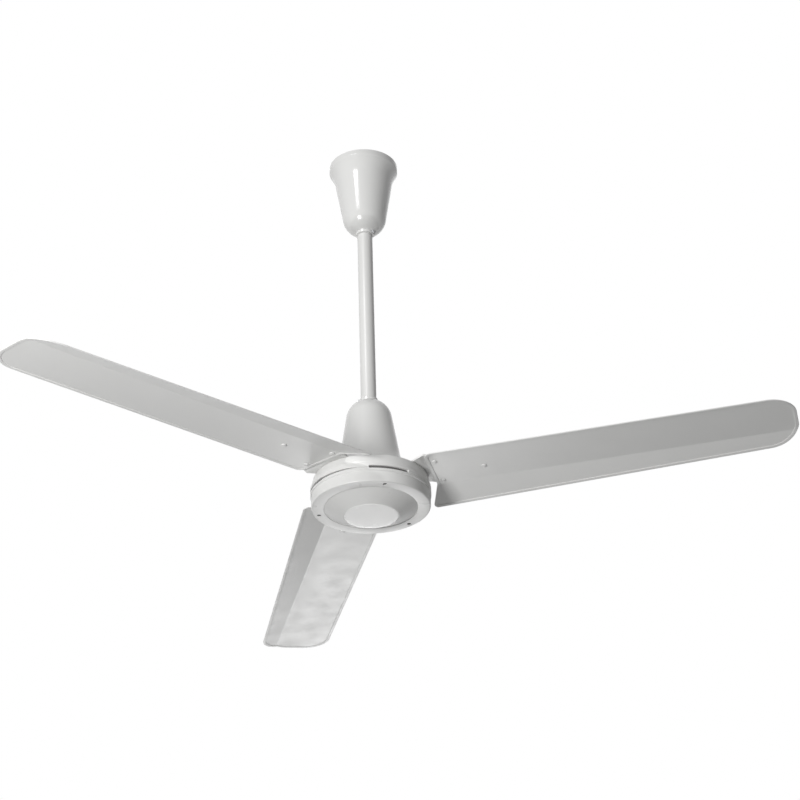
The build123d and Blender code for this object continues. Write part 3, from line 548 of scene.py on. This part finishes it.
def slot_opening(angle):
    """Half height of the air gap at an angle: full in the slots, with half-round ends.

    Beside one slot the gap runs on, thin, and closes slowly where the shells don't quite meet."""
    degree = angle * 180 / pi
    off = np.abs((degree[:, None] - slot_middles[None] + 180) % 360 - 180).min(axis=1)
    past = np.clip((off - (slot_half_arc - slot_end_arc)) / slot_end_arc, 0, 1)
    beyond = (degree - run_out_from + 360) % 360
    run_out = run_out_half_height * np.clip(1 - beyond / run_out_arc, 0, 1) ** 0.5
    return np.maximum(slot_half_height * np.sqrt(1 - past**2), run_out)


def shell_grid(line, angle, side):
    """A turned shell whose edge at the seam draws back by the slot's half height.

    The push is whole at the seam and dies out over the band's half height."""
    grid = turned(line, angles=angle)
    push = slot_opening(angle)[:, None] * np.clip(1 - np.abs(line[:, 1] - seam) / band_half, 0, 1)[None]
    grid[..., 2] += side * push
    return grid


angles = housing_angles()
top_line = rounded([
    (shaft_hole, motor_top, 0.3), (crown_radius, motor_top, crown_round), (top_wall, crown_foot, 1.0),
    (top_wall, seam + band_half, 0.5), (band_radius, seam + band_half - 0.8, 0.7),
    (band_radius, seam + 0.5, 0.5), (lip_radius, seam + seam_gap, 0.3), (wall_inner, seam + seam_gap, 0.3),
    (wall_inner, top_inside_edge, 2.0), (wall_inner - 4, top_inside, 1.0), (hub_outer, top_inside, 2.0),
    (hub_outer, upper_hub_end, 0.5), (housing_bore, upper_hub_end, 0.5),
    (housing_bore, upper_seat, 0), (shaft_hole, upper_seat, 0),
], closed=True)
turned_enamel = painted(
    "turned_enamel", (0.80, 0.80, 0.79), (0.765, 0.765, 0.75), (0.26, 0.38), 700.0, 0.00006, 0.35,
    streak=(14.0, 14.0, 900.0),
)
top_shell = skin("motor_top_shell", [(shell_grid(top_line, angles, 1), True, True)], 40)


def drill(item, cutters):
    """Cuts closed cutters out of a piece and keeps only the result."""
    for cutter in cutters:
        change = item.modifiers.new("drill", "BOOLEAN")
        change.operation = "DIFFERENCE"
        change.solver = "EXACT"
        change.object = cutter
    result = bpy.data.meshes.new_from_object(item.evaluated_get(bpy.context.evaluated_depsgraph_get()))
    item.modifiers.clear()
    item.data = result
    for cutter in cutters:
        bpy.data.objects.remove(cutter)
    return item


finish_piece(top_shell, turned_enamel, "rotor", "white_paint", "motor_top_cover")

ring_inner, ring_edge = 79.0, 2.4
groove_width, groove_depth = 1.2, 0.8
cap_radius, cap_gap, cone_lip, cap_seat = 46.0, 0.25, cone_low + 0.6, cone_low + 1.7
cone_foot, stem_hole, race_relief = 47.0, 6.2, 16.0
bottom_inside, lower_seat, lower_hub_end = -703.6, -700.0, -688.0
dish_foot, dish_edge, ring_back = 45.0, 77.0, ring_height + 2.8
ring_screw_circle, recess_radius, recess_depth = 90.0, 3.7, 3.6
bottom_line = rounded([
    (wall_inner, seam - seam_gap, 0.3), (lip_radius, seam - seam_gap, 0.3), (band_radius, seam - 0.5, 0.5),
    (band_radius, seam - band_half + 2.0, 0.7), (bottom_wall, seam - band_half + 1.2, 0.4),
    (bottom_wall, ring_height, ring_edge), (ring_inner, ring_height, 0.4),
    (ring_inner, ring_height + groove_depth, 0.2),
    (ring_inner - groove_width, ring_height + groove_depth, 0.2),
    (cone_foot, cone_lip, 0.5), (cap_radius + cap_gap, cone_lip, 0.2), (cap_radius + cap_gap, cap_seat, 0),
    (stem_hole, cap_seat, 0), (stem_hole, bottom_inside, 0), (race_relief, bottom_inside, 0),
    (race_relief, lower_seat, 0), (housing_bore, lower_seat, 0), (housing_bore, lower_hub_end, 0.3),
    (hub_outer, lower_hub_end, 0.3), (hub_outer, bottom_inside, 0), (dish_foot, bottom_inside, 1.5),
    (dish_edge, ring_back, 0), (wall_inner, ring_back, 0),
], closed=True)
bottom_shell = skin("motor_bottom_shell", [(shell_grid(bottom_line, angles, -1), True, True)], 30)


def ring_place(turn, radius):
    """The (x, y) of a place on a circle about Z, from an angle in degrees."""
    return radius * np.cos(turn * pi / 180), radius * np.sin(turn * pi / 180)


screw_turns = [turn + 60 for turn in arm_turns]
cutter_line = rounded([
    (0, -1.0, 0), (recess_radius, -1.0, 0), (recess_radius, recess_depth, 0.3), (0, recess_depth, 0),
])
cutters = []
for turn in screw_turns:
    x, y = ring_place(turn, ring_screw_circle)
    grid = turned(cutter_line, 40) + (x, y, ring_height)
    cutters.append(skin("recess_cutter", [(grid, True, False)]))
drill(bottom_shell, cutters)
bottom_shell.data.shade_smooth()
bottom_shell.data.set_sharp_from_angle(angle=30 * pi / 180)
finish_piece(bottom_shell, turned_enamel, "rotor", "white_paint", "motor_bottom_cover")


# Ring screws: black socket screws that draw the bottom shell up to the top one.
# Their heads sit down in round recesses in the flat ring.
ring_head_radius, ring_head_height, ring_head_sink = 3.4, 2.6, 1.2
ring_socket_half, ring_socket_depth, ring_shank, ring_screw_length = 1.5, 1.6, 2.2, 38.0
black_oxide = plated(
    "black_oxide", (0.045, 0.045, 0.05), (0.02, 0.02, 0.022), (0.10, 0.09, 0.08), (0.35, 0.55), metallic=0.7
)
ring_screw = socket_screw(
    ring_head_radius, ring_head_height, ring_socket_half, ring_socket_depth, ring_shank, ring_screw_length,
    0.4,
)
ring_grids = []
for turn in screw_turns:
    x, y = ring_place(turn, ring_screw_circle)
    seat = ring_height + ring_head_sink + ring_head_height
    ring_grids.append((placed(ring_screw, (x, y, seat), (0, 0, -1)), True, False))
finish_piece(skin("recessed_ring_screws", ring_grids), black_oxide, "rotor", "dark_steel", "ring_screws")


# Centre cap: a thin disc of white plastic that snaps into the middle of the bottom shell, painted brighter
# than the enamel: partly its own whiter plastic, partly painted light for the light from below on its face.
# It has a softly rounded edge and a barely domed face, and a short stem holds it.
cap_back, cap_stem, stem_end = cone_low + 1.65, 6.0, cone_low + 3.9
cap_line = rounded([
    (0, cone_low, 0), (cap_radius - 6, cone_low + 0.02, 0), (cap_radius, cone_low + 0.15, 0.8),
    (cap_radius, cap_back, 0.2), (cap_stem, cap_back, 0), (cap_stem, stem_end, 0.4), (0, stem_end, 0),
])
# Painted light, in part: the cap's colour is set brighter than the enamel to stand in for light on its
# down-turned face, as well as for its own whiter plastic.
cap_painted_light_white = painted(
    "snap_cap_painted_light_white", (0.93, 0.93, 0.92), (0.91, 0.91, 0.895), (0.2, 0.3), 300.0, 0.00003, 0.2
)
finish_piece(
    skin("snap_in_cap", [(turned(cap_line, 128), True, False)], 50), cap_painted_light_white, "rotor", "white_plastic",
    "centre_cap",
)


# Blades: sheet steel folded once along its length, with a hem turned over all round the edge.
# They are riveted to the arms and sprayed white with them. The flap starts nearer the motor than the rest.
datum = -648.0
gauge_r = 150.0
blade_root, blade_tip = 105.0, 711.0
wide_edge_150, crease_150, narrow_edge_150 = -59.9, 39.1, 89.6
wide_skew, narrow_skew = -0.0544, -0.0886
wide_rise, wide_droop, wide_slope, flap_slope = 9.18, -0.0211, -0.062, -0.26
tip_wide_radius, tip_narrow_radius = 43.0, 55.0
flap_root = 85.0
root_wide_radius, root_narrow_radius = 14.0, 6.0
blade_thickness, hem_width, hem_drop = 1.0, 5.5, 0.8
fold_round = 1.6
root_reach = 80.0
split_r, split_skew = 400, -0.02
hem_step = 6.0


def edge_across(across_150, skew, r):
    """Where a straight edge or crease lies across the blade at a radius r."""
    return across_150 + skew * (r - gauge_r)


def blade_height(r, t):
    """Height of the sheet's lower face: a plane, plus the flap's slope past the crease.

    At the fold the slope comes in along a parabola."""
    crease = edge_across(crease_150, wide_skew, r)
    past = t - crease
    bend = (past + fold_round) ** 2 / (4 * fold_round)
    ramp = np.where(np.abs(past) < fold_round, bend, np.maximum(past, 0))
    return datum + wide_rise + wide_droop * r + wide_slope * t + flap_slope * ramp


def blade_outline(flap_start):
    """The closed outline (r, t) with four rounded corners, for a flap whose far edge starts at a radius."""
    return rounded([
        (blade_root, edge_across(wide_edge_150, wide_skew, blade_root), root_wide_radius),
        (blade_tip, edge_across(wide_edge_150, wide_skew, blade_tip), tip_wide_radius),
        (blade_tip, edge_across(narrow_edge_150, narrow_skew, blade_tip), tip_narrow_radius),
        (flap_start, edge_across(narrow_edge_150, narrow_skew, flap_start), root_narrow_radius),
        (blade_root, edge_across(crease_150, wide_skew, blade_root), 0),
    ], closed=True, steps=18)


def resample(outline, step):
    """The closed outline with no side longer than a step."""
    ahead = np.roll(outline, -1, axis=0)
    parts = []
    for here, there in zip(outline, ahead):
        count = max(1, int(np.ceil(np.linalg.norm(there - here) / step)))
        parts.append(here + (there - here) * (np.arange(count) / count)[:, None])
    return np.vstack(parts)


def inward(outline):
    """Unit normals that point into a closed outline that runs anticlockwise."""
    along = np.roll(outline, -1, axis=0) - np.roll(outline, 1, axis=0)
    along /= np.linalg.norm(along, axis=1, keepdims=True)
    return np.column_stack([-along[:, 1], along[:, 0]])


def sheet_rows():
    """Radii for the sheet's rows, close together at both rounded ends."""
    ends = 0.5 - 0.5 * np.cos(np.linspace(0, pi, 40))
    root = blade_root + root_wide_radius * ends[:20] * 2
    tip = blade_tip - tip_narrow_radius * (1 - np.sin(np.linspace(0, pi / 2, 44)))
    middle = np.arange(blade_root + root_wide_radius + 2, blade_tip - tip_narrow_radius - 2, 8.0)
    return np.unique(np.round(np.concatenate([root, middle, tip, [blade_tip]]), 5))


def side_limits(outline, rows, inset):
    """The outline's lowest and highest t at each row, drawn in by an inset."""
    line = outline + inward(outline) * inset
    between = (line[:, 0] - split_r) * split_skew
    low_half = line[line[:, 1] < between]
    high_half = line[line[:, 1] >= between]
    low_half = low_half[np.argsort(low_half[:, 0])]
    high_half = high_half[np.argsort(high_half[:, 0])]
    return np.interp(rows, low_half[:, 0], low_half[:, 1]), np.interp(rows, high_half[:, 0], high_half[:, 1])


def sheet_grid(outline, lift, inset):
    """The sheet as rows across it: even columns up to the crease, close ones at the fold, even ones past it.

    Near the root the flap's part of each row is drawn towards the motor, to follow its slanted edge."""
    rows = sheet_rows()
    rows = rows[(rows >= blade_root + inset) & (rows <= blade_tip - inset)]
    low, high = side_limits(outline, rows, inset)
    crease = edge_across(crease_150, wide_skew, rows)
    fold = np.linspace(-fold_round, fold_round, 5)
    wide = low[:, None] + (np.minimum(crease - fold_round, high) - low)[:, None] * np.linspace(0, 1, 10)[None]
    across = np.minimum(crease[:, None] + fold[None], high[:, None])
    start = np.minimum(crease + fold_round, high)
    flap = start[:, None] + (high - start)[:, None] * np.linspace(0, 1, 7)[None]
    t = np.hstack([wide, across[:, 1:-1], flap])
    r = np.repeat(rows[:, None], t.shape[1], axis=1)
    past_crease = np.clip((t - crease[:, None]) / (narrow_edge_150 - crease_150), 0, 1)
    near_root = np.clip(1 - (r - blade_root) / root_reach, 0, 1)
    r = r - (blade_root - flap_root) * past_crease * near_root
    return np.stack([r, t, blade_height(r, t) + lift], -1)


def hem_grid(outline):
    """The hem: a flattened loop carried round the outline, following the sheet's height.

    Its section runs from inside the edge, round the outer side, and back under."""
    section = rounded([
        (0.0, -hem_drop, 0.75), (hem_width, -hem_drop, 0.55), (hem_width, 0.15, 0),
        (hem_width, blade_thickness - 0.05, 0), (0.0, blade_thickness, 0.85),
    ], closed=True, steps=5)
    line = resample(outline, hem_step)
    normal = inward(line)
    r = line[:, :1] + normal[:, :1] * section[None, :, 0]
    t = line[:, 1:] + normal[:, 1:] * section[None, :, 0]
    return np.stack([r, t, blade_height(r, t) + section[None, :, 1]], -1)


def turned_about(grid, turn):
    """A grid turned about Z by an angle in degrees."""
    c, s = np.cos(turn * pi / 180), np.sin(turn * pi / 180)
    x, y = grid[..., 0] * c - grid[..., 1] * s, grid[..., 0] * s + grid[..., 1] * c
    return np.stack([x, y, grid[..., 2]], -1)


outline = blade_outline(blade_root)
under = sheet_grid(outline, 0.0, hem_width * 0.5)
over = sheet_grid(outline, blade_thickness - 0.02, hem_width * 0.5)
hem = hem_grid(blade_outline(flap_root))
blade_enamel = painted(
    "blade_enamel", (0.80, 0.80, 0.79), (0.77, 0.77, 0.755), (0.30, 0.42), 800.0, 0.00006, 0.45
)
for number, turn in enumerate(arm_turns, 1):
    sheets = [(turned_about(under, turn), False, False), (turned_about(over, turn), False, False)]
    sheets.append((turned_about(hem, turn), True, True))
    item = skin(f"hemmed_blade_{number}", sheets, 50)
    finish_piece(item, blade_enamel, "rotor", "white_paint", f"blade_{number}")


# Blade arms: 3 mm steel plate, cut to shape and bent, two screws on the motor and three rivets on the blade.
# The pad lies flat on the motor's top, and a short bend tips the spade to the blade's slope.
arm_thickness, arm_inner, pad_end, arm_nose = 3.0, 66.0, 96.0, 210.0
pad_half, spade_half, nose_half, wide_side = 30.0, 37.0, 9.0, 53.0
pad_round, spade_start, spade_round, nose_round = 8, 130.0, 12, 7
nose_length, face_columns, edge_round = 10, 15, 0.45
rivet_places = np.array([(118.0, -30.8), (118.0, 30.8), (195.3, 0.0)])


def arm_side(rows, root_t):
    """Distance of one of the arm's sides from its middle at each radius, from its rounded outline."""
    line = rounded([
        (arm_inner, 0, 0), (arm_inner, pad_half, pad_round), (pad_end, root_t, 0), (blade_root, root_t, 0),
        (spade_start, spade_half, spade_round), (arm_nose, nose_half, nose_round), (arm_nose, 0, 0),
    ])
    return np.interp(rows, line[:, 0], line[:, 1])


def arm_grid():
    """The plate as closed loops across it, one at each radius: under face, edge, upper face, edge.

    Past the pad the height runs over to the blade's plane along a smooth step, 3s^2 - 2s^3."""
    rows = np.unique(np.concatenate([
        arm_inner + pad_round * (1 - np.cos(np.linspace(0, pi / 2, 9))),
        np.linspace(arm_inner + pad_round, pad_end, 6), np.linspace(pad_end, blade_root, 7),
        np.linspace(blade_root, arm_nose - nose_length, 16),
        arm_nose - nose_length * (1 - np.sin(np.linspace(0, pi / 2, 12))),
    ]))
    near = -arm_side(rows, wide_side)[:, None]
    far = arm_side(rows, spade_half)[:, None]
    share_across = np.linspace(0, 1, face_columns)[None]
    face = near + edge_round + (far - near - 2 * edge_round) * share_across
    edge = np.array([0.0, 0.25, 0.5, 0.75, 1.0]) * arm_thickness
    bulge = (edge_round * np.sin(np.linspace(0, pi, 5)) - edge_round)[None, 1:-1]
    t = np.hstack([face, far + bulge, face[:, ::-1], near - bulge])
    lower, upper = np.zeros(face_columns), np.full(face_columns, arm_thickness)
    lift = np.concatenate([lower, edge[1:-1], upper, edge[1:-1][::-1]])[None]
    r = np.repeat(rows[:, None], t.shape[1], axis=1)
    flat = np.full_like(r, motor_top)
    spade = datum + wide_rise + wide_droop * np.maximum(r, blade_root) + wide_slope * t + blade_thickness
    share = np.clip((r - pad_end) / (blade_root - pad_end), 0, 1)
    share = share * share * (3 - 2 * share)
    grid = np.stack([r, t, flat * (1 - share) + spade * share + lift], -1)
    middle_first = grid[:1].mean(axis=1, keepdims=True).repeat(grid.shape[1], axis=1)
    middle_last = grid[-1:].mean(axis=1, keepdims=True).repeat(grid.shape[1], axis=1)
    return np.concatenate([middle_first, grid, middle_last], 0)


arm = arm_grid()
for number, turn in enumerate(arm_turns, 1):
    item = skin(f"bent_arm_{number}", [(turned_about(arm, turn), False, True)], 40)
    finish_piece(item, blade_enamel, "rotor", "white_paint", f"blade_arm_{number}")


# Rivets: nine steel rivets, three to a blade, with round heads below and closed tails above.
# They are set before painting, so they carry the same white.
rivet_head, rivet_rise, rivet_shank = 4.6, 2.2, 2.5
grip = blade_thickness + arm_thickness
tail_seat, tail_side, tail_top = grip + 0.02, grip + 1.2, grip + 1.4


def rivet_grid():
    """A rivet along Z: a spherical head below 0, the shank, and a flatter tail above the grip."""
    swing = np.linspace(0, pi / 2, 9)
    head = np.column_stack([rivet_head * np.sin(swing), -rivet_rise * np.cos(swing)])
    rest = rounded([
        (rivet_head, 0, 0), (rivet_shank, 0, 0), (rivet_shank, tail_seat, 0),
        (rivet_head - 0.6, tail_seat, 0.2), (rivet_head - 0.8, tail_side, 0.7), (0, tail_top, 0),
    ])
    return turned(np.vstack([head, rest[1:]]), 32)


facet_normal = np.array((-wide_droop, -wide_slope, 1.0))
rivet = rivet_grid()
rivet_grids = []
for turn in arm_turns:
    for r, t in rivet_places:
        seat = (r, t, datum + wide_rise + wide_droop * r + wide_slope * t)
        rivet_grids.append((turned_about(placed(rivet, seat, facet_normal), turn), True, False))
finish_piece(skin("round_head_rivets", rivet_grids, 45), blade_enamel, "rotor", "white_paint", "blade_rivets")


# Arm screws: six zinc-plated socket screws that hold the arms to the motor's top shell.
# Their heads stand on the arms, out of sight from below.
arm_screw_r, arm_screw_t = 78.0, 20.0
arm_head_radius, arm_head_height, arm_socket_half, arm_socket_depth = 4.5, 3.0, 2.0, 2.0
arm_shank, arm_screw_length = 2.5, 10.0
arm_screw = socket_screw(
    arm_head_radius, arm_head_height, arm_socket_half, arm_socket_depth, arm_shank, arm_screw_length, 0.6
)
screw_grids = []
for turn in arm_turns:
    for side in (-1, 1):
        grid = arm_screw + (arm_screw_r, side * arm_screw_t, motor_top + arm_thickness)
        screw_grids.append((turned_about(grid, turn), True, False))
finish_piece(skin("arm_socket_screws", screw_grids), zinc, "rotor", "zinc_steel", "arm_screws")


# Hanger hardware: bracket, strap, pins, bolts and nuts of zinc-plated steel, hidden in the upper cover.
# The same plating is on the wiring plate, the rod socket and the small hardware above the motor.
def repaint(material, *names):
    """Gives CAD pieces their finish."""
    for name in names:
        mesh = nodes[name].data
        mesh.materials.clear()
        mesh.materials.append(material)


repaint(
    zinc, "ceiling_bracket", "hanging_pin", "hanging_nut", "hanging_split_pin", "top_strap", "strap_bolt",
    "strap_nut", "strap_split_pin", "rod_socket", "rod_bolt", "rod_nut", "rod_split_pin", "socket_pin",
    "wiring_plate", "shaft_nut", "capacitor_clip", "clip_screw",
)


# Roller: black rubber moulded on the hanging pin, grooved for the strap, which it keeps from humming.
# Its skin is dull, with a faint bloom and a fine grain.
rubber = bpy.data.materials.new("black_rubber")
rubber.use_nodes = True
tree = rubber.node_tree
shader = tree.nodes["Principled BSDF"]
bloom = noise_node(tree, 70.0, 4.0, roughness=0.6)
bloomed = colour_blend(tree, bloom, (0.018, 0.018, 0.018), (0.07, 0.07, 0.072))
tree.links.new(bloomed, shader.inputs["Base Color"])
tree.links.new(value_range(tree, bloom, 0.62, 0.85), shader.inputs["Roughness"])
add_bump(tree, shader, noise_node(tree, 1400.0, 3.0), 0.00005)
repaint(rubber, "rubber_roller")


# Shaft and bearings: ground steel.
# The balls and their cages are polished.
ground_steel = plated(
    "ground_steel", (0.60, 0.61, 0.62), (0.50, 0.51, 0.52), (0.36, 0.34, 0.32), (0.16, 0.30), 1.6
)
ball_steel = plated("ball_steel", (0.72, 0.72, 0.73), (0.62, 0.62, 0.63), (0.5, 0.5, 0.5), (0.06, 0.14), 0.3)
repaint(ground_steel, "motor_shaft", "upper_bearing_inner", "upper_bearing_outer", "lower_bearing_inner",
        "lower_bearing_outer")
repaint(ball_steel, "upper_bearing_balls", "lower_bearing_balls")


# Stator and rotor cores: thin varnished sheets of silicon steel, stacked, so their sides show fine lines.
# The lines are half a millimetre apart.
lamination = bpy.data.materials.new("stacked_sheets")
lamination.use_nodes = True
tree = lamination.node_tree
shader = tree.nodes["Principled BSDF"]
node_input(shader, "Metallic", 0.75)
stack = tree.nodes.new("ShaderNodeTexWave")
stack.wave_type = "BANDS"
stack.bands_direction = "Z"
node_input(stack, "Scale", 320.0)
node_input(stack, "Distortion", 0.4)
tree.links.new(tree.nodes.new("ShaderNodeTexCoord").outputs["Object"], stack.inputs["Vector"])
striped = colour_blend(tree, stack.outputs["Fac"], (0.10, 0.10, 0.11), (0.26, 0.25, 0.24))
tree.links.new(striped, shader.inputs["Base Color"])
tree.links.new(value_range(tree, noise_node(tree, 50.0, 4.0), 0.38, 0.6), shader.inputs["Roughness"])
add_bump(tree, shader, stack.outputs["Fac"], 0.00012)
repaint(lamination, "stator_core", "rotor_core")


# Winding: enamelled copper wire laid in the slots and dipped in varnish.
# Fine ridges of wire run round the end turns.
copper = bpy.data.materials.new("varnished_winding")
copper.use_nodes = True
tree = copper.node_tree
shader = tree.nodes["Principled BSDF"]
node_input(shader, "Metallic", 0.8)
node_input(shader, "Coat Weight", 0.4)
wires = tree.nodes.new("ShaderNodeTexWave")
wires.wave_type = "RINGS"
wires.rings_direction = "Z"
node_input(wires, "Scale", 400.0)
node_input(wires, "Distortion", 3.0)
tree.links.new(tree.nodes.new("ShaderNodeTexCoord").outputs["Object"], wires.inputs["Vector"])
ridged = colour_blend(tree, wires.outputs["Fac"], (0.24, 0.07, 0.03), (0.66, 0.28, 0.13))
tree.links.new(ridged, shader.inputs["Base Color"])
tree.links.new(value_range(tree, noise_node(tree, 120.0, 3.0), 0.22, 0.42), shader.inputs["Roughness"])
add_bump(tree, shader, wires.outputs["Fac"], 0.0002)
repaint(copper, "stator_winding")


# Cage: aluminium cast through the rotor's holes, with a ring on each face.
# It keeps the grain of the casting.
cast_aluminium = plated(
    "cast_aluminium", (0.70, 0.70, 0.71), (0.55, 0.55, 0.56), (0.4, 0.4, 0.4), (0.4, 0.6), 0.1, 0.00006
)
repaint(cast_aluminium, "rotor_cage")


# Run capacitor and terminal block: moulded plastic on the wiring plate, under the lower cover.
# The capacitor is a pale can, the block is cream, and its screws are brass.
can_plastic = painted(
    "can_plastic", (0.72, 0.72, 0.70), (0.68, 0.68, 0.655), (0.35, 0.5), 1200.0, 0.00004, 0.3
)
cream_plastic = painted(
    "cream_plastic", (0.66, 0.61, 0.48), (0.60, 0.55, 0.43), (0.42, 0.58), 1500.0, 0.00004, 0.3
)
screw_brass = plated("screw_brass", (0.72, 0.53, 0.22), (0.60, 0.42, 0.17), (0.30, 0.22, 0.12), (0.2, 0.4))
repaint(can_plastic, "capacitor")
repaint(cream_plastic, "terminal_block")
repaint(screw_brass, "terminal_screws")
